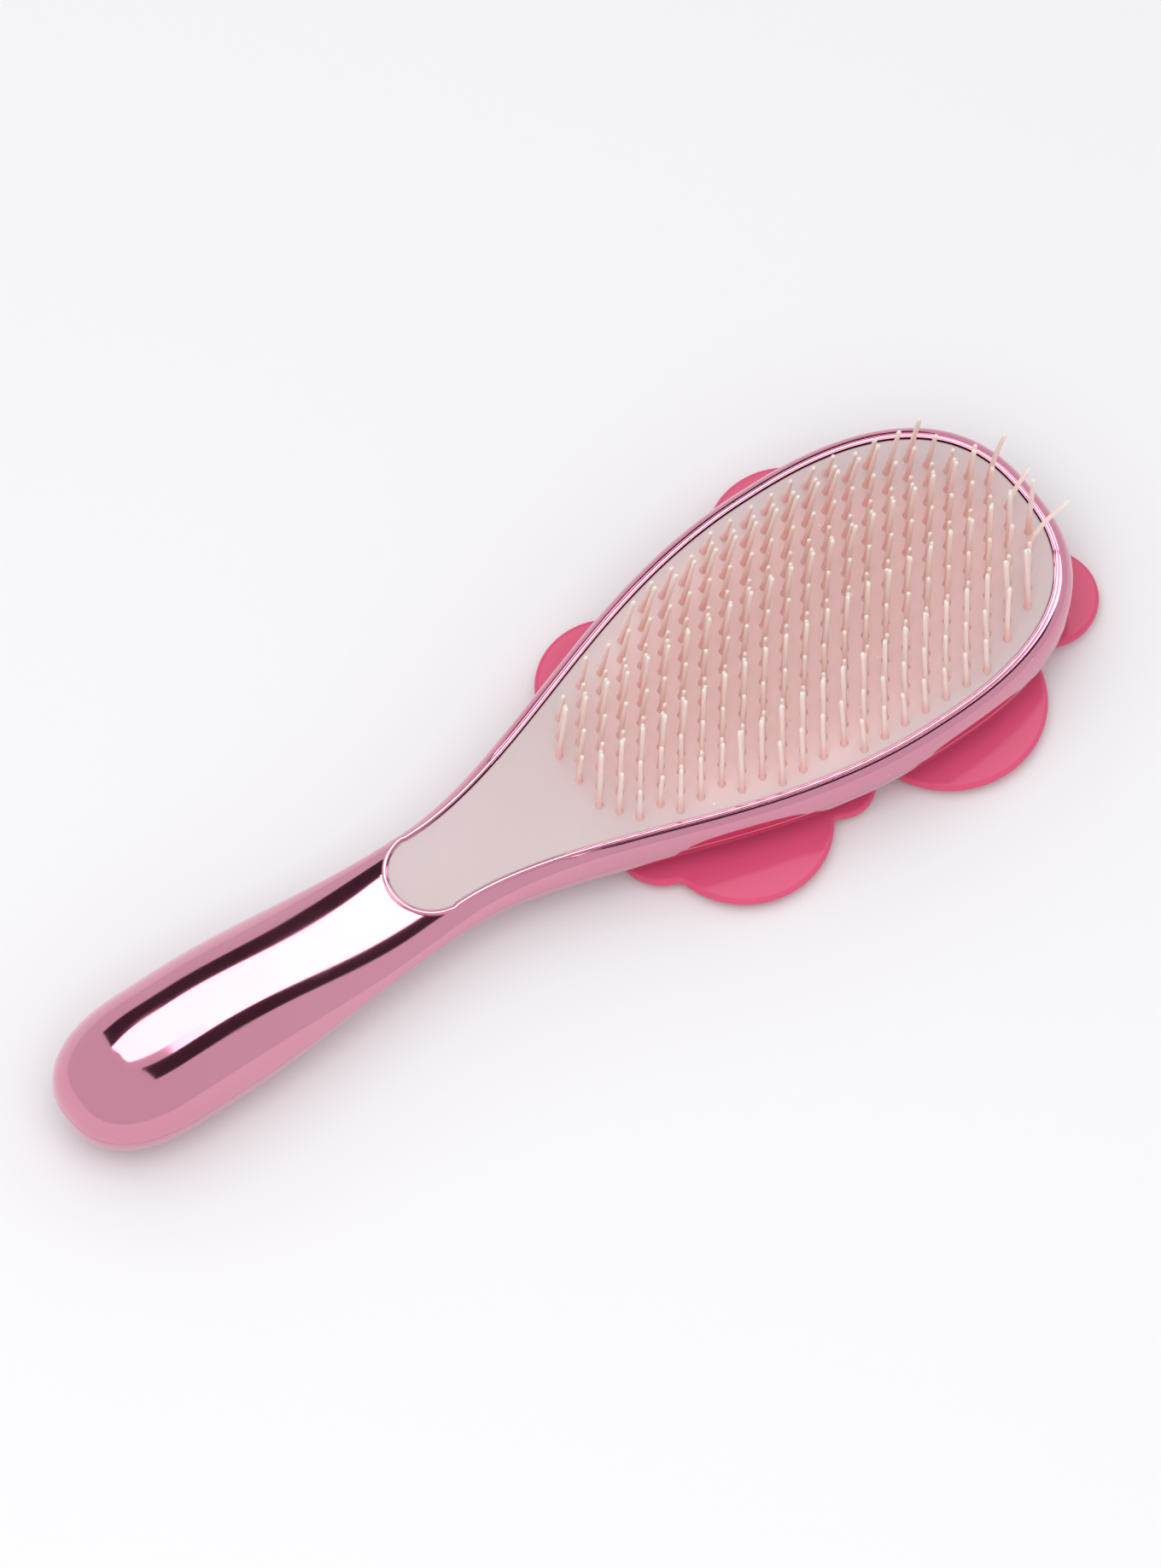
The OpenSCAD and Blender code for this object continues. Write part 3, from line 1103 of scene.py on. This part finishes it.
@dataclass(frozen=True)
class BristleField:
    """All the bristles: slim tapers with a flared foot and a round tip, in rows along the brush."""

    form: BodyForm
    foot_d: float = 1.16
    tip_d: float = 0.84
    pitch: float = 4.8
    row_gap: float = 3.28
    bare_edge: float = 2.4
    bare_end: float = 42.0
    lean_head: float = 4.0
    lean_in: float = 0.37
    shift: float = 1.1
    row_shift: float = -0.6
    sides: int = 14
    collar: float = 0.24
    collar_h: float = 0.5
    collar_steps: int = 4
    shaft_steps: int = 7
    tip_steps: int = 5
    taper_n: float = 1.1
    crease: float = 70.0
    long_l: float = 18.6
    medium_l: float = 13.0
    short_l: float = 9.2
    seed: int = 11
    waver: float = 0.16
    stray_slack: float = 0.2
    strays: tuple[Stray, ...] = (
        Stray((219.8, 6.0), (1.6, -0.6)),
        Stray((219.8, -0.6), (5.2, 1.2)),
        Stray((217.4, -10.4), (8.6, -0.8)),
        Stray((203.8, -23.0), (1.9, 1.4)),
        Stray((204.0, 14.0), (1.2, 1.6)),
    )

    def lengths(self) -> dict[Tier, tuple[str, str, float]]:
        """Piece name, CAD node and length of each tier.

        Returns:
            The three of them by tier; the length is in millimetres.
        """
        return {Tier.LONG: ("long_pins", "long_bristles", self.long_l),
                Tier.MEDIUM: ("medium_pins", "medium_bristles", self.medium_l),
                Tier.SHORT: ("short_pins", "short_bristles", self.short_l)}

    def field_w(self, x: float) -> float:
        """Half the width of the field at a place along the body, or -1 outside it.

        Args:
            x: Place along the body.

        Returns:
            Half the width, or -1.
        """
        f = self.form
        d = f.rim_w + self.bare_edge
        if x < f.panel_start + self.bare_end or x >= f.body_len - d:
            return -1.0
        if x <= f.head_x:
            return f.half_w(x) - d
        share = ((x - f.head_x) / (f.head_round - d)) ** f.head_n
        return (f.head_w / 2 - d) * (1 - share) ** (1 / f.head_n)

    def spots(self, tier: Tier) -> list[Spot]:
        """Feet of one tier's bristles.

        Args:
            tier: Which length of bristle.

        Returns:
            Places along and across the body.
        """
        f = self.form
        rows = math.floor((f.head_w / 2 - f.rim_w - self.bare_edge) / self.row_gap)
        order = (Tier.SHORT, Tier.MEDIUM, Tier.LONG, Tier.MEDIUM)
        cols = math.ceil(f.body_len / self.pitch / 2)
        found = []
        for j in range(-rows, rows + 1):
            if order[abs(j) % len(order)] is not tier:
                continue
            for i in range(-cols, cols + 1):
                x = f.head_x + self.shift + (i + (abs(j) % 2) / 2) * self.pitch
                if abs(j * self.row_gap) <= self.field_w(x):
                    found.append((x, j * self.row_gap + self.row_shift))
        return found

    def push_of(self, spot: Spot, chance: random.Random) -> Spot:
        """How far a bristle's tip is bent out of line: a small random sway, or a stray's own push.

        Args:
            spot: Place of the bristle's foot.
            chance: Source of the random sway; every bristle draws twice.

        Returns:
            Push along and across the body.
        """
        sway = (chance.gauss(0, self.waver), chance.gauss(0, self.waver))
        for stray in self.strays:
            if math.dist(stray.near, spot) < self.row_gap / 2 + self.stray_slack:
                return stray.push
        return sway

    def pin(self, draft: Draft, spot: Spot, length: float, push: Spot) -> None:
        """Adds one bristle.

        Args:
            draft: Draft to add to.
            spot: Place of its foot.
            length: Its length.
            push: How far its tip is bent out of line.
        """
        x, y = spot
        height = math.sqrt(max(1.0, length ** 2 - push[0] ** 2 - push[1] ** 2))
        lean = (math.tan(math.radians(self.lean_head)),
                -math.tan(math.radians(self.lean_in * (y - self.row_shift))))
        shaft_r, tip_r = self.foot_d / 2, self.tip_d / 2
        profile = []
        for k in range(self.collar_steps + 1):
            share = k / self.collar_steps
            profile.append((shaft_r + self.collar * (1 - share) ** 2, self.collar_h * share))
        for k in range(1, self.shaft_steps + 1):
            h = mix(self.collar_h, length - tip_r, k / self.shaft_steps)
            profile.append((mix(shaft_r, tip_r, (h / length) ** self.taper_n), h))
        for k in range(1, self.tip_steps):
            q = math.pi / 2 * k / self.tip_steps
            profile.append((tip_r * math.cos(q), length - tip_r * (1 - math.sin(q))))
        rings = []
        for r, h in profile:
            t = h / length
            bend = t ** 2
            cx = x + lean[0] * h + push[0] * bend
            cy = y + lean[1] * h + push[1] * bend
            cz = self.form.panel_z + mix(h, h * height / length, t)
            rings.append(draft.ring([(cx + r * math.cos(math.tau * k / self.sides),
                                      cy + r * math.sin(math.tau * k / self.sides), cz)
                                     for k in range(self.sides)], t))
        draft.skin(rings)

    def build(self, material: bpy.types.Material) -> list[bpy.types.Object]:
        """Builds and dresses the three tiers.

        Args:
            material: Finish that it is dressed in.

        Returns:
            The three finished pieces.
        """
        made = []
        for tier, (name, node, length) in self.lengths().items():
            chance = random.Random(tier.value + self.seed)
            draft = Draft()
            for spot in self.spots(tier):
                self.pin(draft, spot, length, self.push_of(spot, chance))
            piece = draft.build(name, crease=self.crease, keep_along=True)
            dress(piece, material)
            made.append(place(piece, node, "bristle"))
        return made


# --------------------------------------------------------------------------- the ornament


@dataclass(frozen=True)
class Lobe:
    """A round lobe of the plate: its place from the head's widest point, and its radius."""

    x: float
    y: float
    r: float

    def holds(self, x: float, y: float) -> bool:
        """Whether a point is inside the lobe."""
        return math.hypot(x - self.x, y - self.y) < self.r - TINY


@dataclass(frozen=True)
class LobedPlate:
    """The raspberry plate on the back: overlapping round lobes with a full-round edge."""

    form: BodyForm
    fasteners: Fasteners
    thickness: float = 2.0
    low: float = 1.9
    edge_r: float = 0.95
    edge_steps: int = 12
    step: float = 0.8
    corner_rounds: int = 2
    lobes: tuple[Lobe, ...] = (
        Lobe(6, 25, 15.5), Lobe(-40, 19, 14.4), Lobe(-36.5, -20, 17.2), Lobe(-52, -14.5, 8.6),
        Lobe(-17, -24, 7), Lobe(10.5, -21.4, 19.1), Lobe(38.3, -14, 10.7),
        Lobe(-14, 0, 27), Lobe(16, 0, 22), Lobe(-38, 0, 16),
    )

    def cuts(self, lobe: Lobe) -> list[float]:
        """Angles at which other lobes cross one lobe's circle.

        Args:
            lobe: Lobe whose circle is looked at.

        Returns:
            The angles in rising order.
        """
        found = []
        for other in self.lobes:
            gap = math.hypot(other.x - lobe.x, other.y - lobe.y)
            if other is lobe or gap >= lobe.r + other.r or gap <= abs(lobe.r - other.r):
                continue
            towards = math.atan2(other.y - lobe.y, other.x - lobe.x)
            half = math.acos((lobe.r ** 2 + gap ** 2 - other.r ** 2) / (2 * lobe.r * gap))
            found += [(towards - half) % math.tau, (towards + half) % math.tau]
        return sorted(found)

    def arcs(self) -> list[list[Spot]]:
        """The stretches of the circles that lie outside every other lobe.

        Returns:
            Each stretch as points along it.
        """
        found = []
        for lobe in self.lobes:
            cuts = self.cuts(lobe)
            for a, b in zip(cuts, cuts[1:] + [cuts[0] + math.tau]):
                middle = (a + b) / 2
                x, y = lobe.x + lobe.r * math.cos(middle), lobe.y + lobe.r * math.sin(middle)
                if b - a > TINY and not any(o.holds(x, y) for o in self.lobes if o is not lobe):
                    n = max(2, round((b - a) * lobe.r / self.step))
                    found.append([(lobe.x + lobe.r * math.cos(mix(a, b, k / n)),
                                   lobe.y + lobe.r * math.sin(mix(a, b, k / n))) for k in range(n + 1)])
        return found

    def outline(self) -> list[Spot]:
        """The plate's outline, walked arc by arc, with its inner corners eased.

        Returns:
            Points all the way round, measured from the head's widest point.
        """
        left = self.arcs()
        arc = left.pop(0)
        path = arc[:-1]
        while left:
            arc = min(left, key=lambda a: math.dist(a[0], arc[-1]))
            left.remove(arc)
            path += arc[:-1]
        for _ in range(self.corner_rounds):
            n = len(path)
            path = [((path[i - 1][0] + 2 * path[i][0] + path[(i + 1) % n][0]) / 4,
                     (path[i - 1][1] + 2 * path[i][1] + path[(i + 1) % n][1]) / 4) for i in range(n)]
        return path

    def build(self, material: bpy.types.Material) -> bpy.types.Object:
        """Builds and dresses the plate, with the holes of its screws.

        Args:
            material: Finish that it is dressed in.

        Returns:
            The finished piece.
        """
        path = self.outline()
        n = len(path)
        inward = []
        for i in range(n):
            dx, dy = path[(i + 1) % n][0] - path[i - 1][0], path[(i + 1) % n][1] - path[i - 1][1]
            size = math.hypot(dx, dy)
            inward.append((-dy / size, dx / size))
        draft = Draft()
        rings = []
        middle = self.low + self.thickness / 2
        for k in range(self.edge_steps + 1):
            q = math.pi * (k / self.edge_steps - 0.5)
            inset = self.edge_r * (1 - math.cos(q))
            z = middle + self.thickness / 2 * math.sin(q)
            rings.append(draft.ring([(self.form.head_x + p[0] + inset * d[0], p[1] + inset * d[1], z)
                                     for p, d in zip(path, inward)]))
        draft.skin(rings)
        piece = draft.build("lobed_plate")
        holes = Draft()
        for spot in self.fasteners.hold_spots:
            holes.lathe([(self.fasteners.hole_r, self.low - OVER),
                         (self.fasteners.hole_r, self.low + self.thickness + OVER)], spot, closed=False)
        cut(piece, holes.build("holes"))
        dress(piece, material)
        return place(piece, "ornament_plate", "ornament")


@dataclass(frozen=True)
class Blossom:
    """The five-petal blossom in relief, and the cut stone in its middle."""

    form: BodyForm
    fasteners: Fasteners
    petals: int = 5
    petal_r: float = 10.5
    petal_out: float = 14.0
    heart_r: float = 12.0
    top: float = 1.9
    well_r: float = 6.05
    well_z: float = 1.5
    gem_r: float = 6.0
    gem_clear: float = 0.1
    gem_edge: float = 0.9
    face_z: float = 1.3
    crown_h: float = 0.75
    crown_out: float = 0.8
    crown_n: float = 0.6
    seam_h: float = 0.8
    seam_w: float = 1.1
    seam_out: float = 2.5
    vein_h: float = 0.22
    vein_w: float = 0.5
    facets: int = 16
    table_share: float = 0.52
    break_share: float = 0.8
    break_rise: float = 0.4
    petal_crease: float = 50.0
    gem_crease: float = 4.0
    hole_over: float = 0.1
    turns: int = 240
    steps: int = 26

    @property
    def centre(self) -> float:
        """Place of the blossom's middle along the body."""
        return self.form.head_x - self.fasteners.flower_back

    def from_petal(self, q: float) -> float:
        """Angle from the nearest petal's middle line."""
        part = math.tau / self.petals
        return q % part - part / 2

    def edge(self, q: float) -> float:
        """Distance from the middle to the outline in one direction.

        Args:
            q: Direction as an angle.

        Returns:
            The distance.
        """
        far = self.heart_r
        a = self.from_petal(q)
        side = self.petal_out * math.sin(a)
        if abs(side) < self.petal_r:
            far = max(far, self.petal_out * math.cos(a) + math.sqrt(self.petal_r ** 2 - side ** 2))
        return far

    def relief(self, r: float, q: float) -> float:
        """Height of the blossom's face at a distance from its middle and a direction.

        Args:
            r: Distance from the middle.
            q: Direction as an angle.

        Returns:
            Height above the floor.
        """
        share = (r - self.well_r) / (self.edge(q) - self.well_r)
        crown = 1 - math.sin(math.pi * min(1.0, max(0.0, share)) ** self.crown_out) ** self.crown_n
        seam_at = math.tau / self.petals / 2 - abs(self.from_petal(q))
        seam = math.exp(-(seam_at * r / self.seam_w) ** 2) * ease(share * self.seam_out)
        vein = math.exp(-(self.from_petal(q) * r / self.vein_w) ** 2) * math.sin(math.pi * share) ** 2
        return min(self.face_z, self.crown_h * crown + self.seam_h * seam + self.vein_h * vein)

    def loop(self, draft: Draft, spot_of: Callable[[float], Spot]) -> list[int]:
        """Adds one ring of the petals.

        Args:
            draft: Draft to add to.
            spot_of: Distance from the blossom's middle, and height, in each direction.

        Returns:
            The numbers of the new points.
        """
        points = []
        for k in range(self.turns):
            q = math.tau * k / self.turns
            r, z = spot_of(q)
            points.append((self.centre + r * math.cos(q), r * math.sin(q), z))
        return draft.ring(points)

    def face_spot(self, q: float, share: float) -> Spot:
        """Distance from the middle, and height, at a direction and a share of the way out."""
        r = mix(self.well_r, self.edge(q), share)
        return r, self.relief(r, q)

    def build_petals(self, material: bpy.types.Material) -> bpy.types.Object:
        """Builds and dresses the petals, with the stone's well and the blind holes of the screws.

        Args:
            material: Finish that it is dressed in.

        Returns:
            The finished piece.
        """
        draft = Draft()
        rings = [self.loop(draft, lambda q: (self.well_r, self.well_z))]
        for k in range(self.steps + 1):
            share = ease(k / self.steps)
            rings.append(self.loop(draft, lambda q: self.face_spot(q, share)))
        rings.append(self.loop(draft, lambda q: (self.edge(q), self.top)))
        draft.skin(rings)
        piece = draft.build("blossom_petals", crease=self.petal_crease)
        holes = Draft()
        for spot in self.fasteners.hold_spots:
            holes.lathe([(self.fasteners.hole_r, self.fasteners.hold_tip - self.hole_over),
                         (self.fasteners.hole_r, self.top + OVER)], spot, closed=False)
        cut(piece, holes.build("holes"), crease=self.petal_crease)
        dress(piece, material)
        return place(piece, "ornament_blossom", "blossom")

    def build_gem(self, material: bpy.types.Material) -> bpy.types.Object:
        """Builds and dresses the stone: a table, two rows of facets and a girdle.

        Args:
            material: Finish that it is dressed in.

        Returns:
            The finished piece.
        """
        draft = Draft()
        break_z = mix(self.gem_clear, self.gem_edge, self.break_rise)
        rows = [(self.gem_r * self.table_share, self.gem_clear, 0.0),
                (self.gem_r * self.break_share, break_z, 0.5),
                (self.gem_r, self.gem_edge, 0.0), (self.gem_r, self.well_z, 0.0)]
        girdle = len(rows) - 2
        rings = []
        for r, z, turn in rows:
            turns = [math.tau * (k + turn) / self.facets for k in range(self.facets)]
            rings.append(draft.ring([(self.centre + r * math.cos(q), r * math.sin(q), z) for q in turns]))
        for step, (a, b) in enumerate(zip(rings, rings[1:])):
            if step == girdle:
                draft.bridge(a, b)
                continue
            for k in range(self.facets):
                j = (k + 1) % self.facets
                ahead = rows[step][2] == 0.0
                first = [a[k], a[j], b[k]] if ahead else [a[k], b[j], b[k]]
                second = [a[j], b[j], b[k]] if ahead else [a[k], a[j], b[j]]
                draft.faces += [first, second]
        draft.cap(rings[0])
        draft.cap(rings[-1])
        piece = draft.build("cut_gem", crease=self.gem_crease)
        dress(piece, material)
        return place(piece, "blossom_gem", "gem")


# --------------------------------------------------------------------------- the studio


@dataclass(frozen=True)
class Studio:
    """Pale floor, soft lights, dark cards that the plated body mirrors, and the camera."""

    azimuth: float = -35.7
    elevation: float = 62.5
    target: Point = (0.0042, -0.0013, 0.01835)
    distance: float = 7.45
    lens: float = 900.0
    sensor: float = 36.0
    card_far: float = 0.9
    band_from: float = -0.02
    band_to: float = 0.85
    band_w: float = 0.9
    band_aside: float = -0.05
    dark_w: float = 0.34
    dark_drop: float = 0.35
    band_watts: float = 5.8
    band_colour: Colour = (1.0, 0.98, 0.98)
    key_watts: float = 2.2
    key_at: Point = (-0.35, 0.25, 1.1)
    key_size: Spot = (1.1, 1.1)
    key_colour: Colour = (1.0, 0.985, 0.97)
    fill_watts: float = 2.2
    fill_size: Spot = (0.7, 0.7)
    fill_colour: Colour = (1.0, 0.99, 0.98)
    card_colour: Colour = (0.075, 0.045, 0.06)
    floor_reach: float = 3.0
    floor_colour: Colour = (0.86, 0.855, 0.86)
    floor_roughness: float = 0.9
    floor_specular: float = 0.1
    sky_colour: Colour = (0.96, 0.97, 1.0)
    sky_strength: float = 0.83

    def back(self) -> Vector:
        """Direction from the target to the camera."""
        a, e = math.radians(self.azimuth), math.radians(self.elevation)
        return Vector((math.sin(a) * math.cos(e), -math.cos(a) * math.cos(e), math.sin(e)))

    def set_camera(self) -> None:
        """Makes the scene's camera."""
        data = bpy.data.cameras.new("camera")
        data.lens = self.lens
        data.sensor_width = self.sensor
        camera = bpy.data.objects.new("camera", data)
        bpy.context.scene.collection.objects.link(camera)
        camera.location = Vector(self.target) + self.back() * self.distance
        camera.rotation_euler = self.back().to_track_quat("Z", "Y").to_euler()
        bpy.context.scene.camera = camera

    def light(self, name: str, at: Vector, size: Spot, power_w: float, colour: Colour,
              diffuse: bool = True, glossy: bool = True) -> None:
        """Adds a level rectangular light that faces down.

        Args:
            name: Name of the light.
            at: Its place in metres.
            size: Its length along the brush and its width across it, in metres.
            power_w: Its power in watts.
            colour: Its colour.
            diffuse: Whether it lights matt surfaces.
            glossy: Whether glossy surfaces mirror it.
        """
        data = bpy.data.lights.new(name, "AREA")
        data.shape = "RECTANGLE"
        data.size, data.size_y = size
        data.energy = power_w
        data.color = colour
        lamp = bpy.data.objects.new(name, data)
        bpy.context.scene.collection.objects.link(lamp)
        lamp.location = at
        lamp.visible_camera = False
        lamp.visible_diffuse = diffuse
        lamp.visible_glossy = glossy

    @staticmethod
    def sheet(name: str, edge: list[Point], colour: Colour, roughness: float,
              specular: float) -> bpy.types.Object:
        """Makes a flat four-sided sheet with a plain finish.

        Args:
            name: Name of the sheet and of its finish.
            edge: Its four corners, in metres.
            colour: Its colour.
            roughness: Its roughness.
            specular: Strength of its shine.

        Returns:
            The new object.
        """
        mesh = bpy.data.meshes.new(name)
        mesh.from_pydata(edge, [], [[0, 1, 2, 3]])
        sheet = bpy.data.objects.new(name, mesh)
        bpy.context.scene.collection.objects.link(sheet)
        matt = bpy.data.materials.new(name)
        matt.use_nodes = True
        shader = matt.node_tree.nodes["Principled BSDF"]
        shader.inputs["Base Color"].default_value = (*colour, 1)
        shader.inputs["Roughness"].default_value = roughness
        shader.inputs["Specular IOR Level"].default_value = specular
        mesh.materials.append(matt)
        return sheet

    def card(self, name: str, near: Point, side: float, drop: float) -> None:
        """Adds a dark card overhead, along the brush, that only mirrors see.

        Args:
            name: Name of the card.
            near: Middle of its edge beside the light, in metres.
            side: 1 where it reaches to positive y, -1 to negative y.
            drop: How far its outer edge hangs lower.
        """
        x, y, z = near
        dx = (self.band_to - self.band_from) / 2
        outer = (y + side * self.dark_w, z - drop)
        card = self.sheet(name, [(x - dx, y, z), (x + dx, y, z), (x + dx, *outer), (x - dx, *outer)],
                          self.card_colour, 1.0, 0.0)
        card.visible_camera = False
        card.visible_diffuse = False
        card.visible_shadow = False
        card.visible_transmission = False

    def set_floor(self) -> None:
        """Lays the pale floor."""
        reach = self.floor_reach
        edge = [(-reach, -reach, 0), (reach, -reach, 0), (reach, reach, 0), (-reach, reach, 0)]
        floor = self.sheet("floor", edge, self.floor_colour, self.floor_roughness, self.floor_specular)

    def set_sky(self) -> None:
        """Sets an even soft light all round, and plain colour handling."""
        world = bpy.data.worlds.new("studio")
        bpy.context.scene.world = world
        world.use_nodes = True
        sky = world.node_tree.nodes["Background"]
        sky.inputs["Color"].default_value = (*self.sky_colour, 1)
        sky.inputs["Strength"].default_value = self.sky_strength
        bpy.context.scene.view_settings.view_transform = "Standard"

    def build(self) -> None:
        """Sets up everything around the brush."""
        self.set_camera()
        self.set_floor()
        self.set_sky()
        target = Vector(self.target)
        back = self.back()
        over = target + Vector((-back.x, -back.y, back.z)) * self.card_far
        middle = (self.band_from + self.band_to) / 2
        line = over.y + self.band_aside
        reach = self.band_to - self.band_from
        self.light("soft_fill", target + back * self.card_far, self.fill_size, self.fill_watts,
                   self.fill_colour, glossy=False)
        self.light("soft_key", Vector(self.key_at), self.key_size, self.key_watts, self.key_colour,
                   glossy=False)
        self.light("gloss_band", Vector((middle, line, over.z)), (reach, self.band_w), self.band_watts,
                   self.band_colour, diffuse=False)
        self.card("card_far", (middle, line + self.band_w / 2, over.z), 1, self.dark_drop)
        self.card("card_near", (middle, line - self.band_w / 2, over.z), -1, 0.0)


def main() -> None:
    """Builds the brush piece by piece and sets the studio around it."""
    logging.basicConfig(level=logging.INFO, format="%(name)s: %(message)s")
    effects = SharedEffects()
    form = BodyForm()
    fasteners = Fasteners(form)
    covers = Covers(form, fasteners)
    plated = PLATED.make(effects)
    covers.front(plated)
    covers.bead(plated)
    covers.back(plated)
    PanelPad(form, fasteners).build(SATIN.make(effects))
    BristleField(form).build(NYLON.make(effects))
    LobedPlate(form, fasteners).build(RASPBERRY.make(effects))
    blossom = Blossom(form, fasteners)
    blossom.build_petals(BLOSSOM.make(effects))
    blossom.build_gem(GEM.make(effects))
    steel = STEEL.make(effects)
    for node in ("shell_screws", "ornament_screws"):
        dress(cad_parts[node], steel)
        LOG.info("%s keeps its own mesh", node)
    Studio().build()


if __name__ == "__main__":
    main()
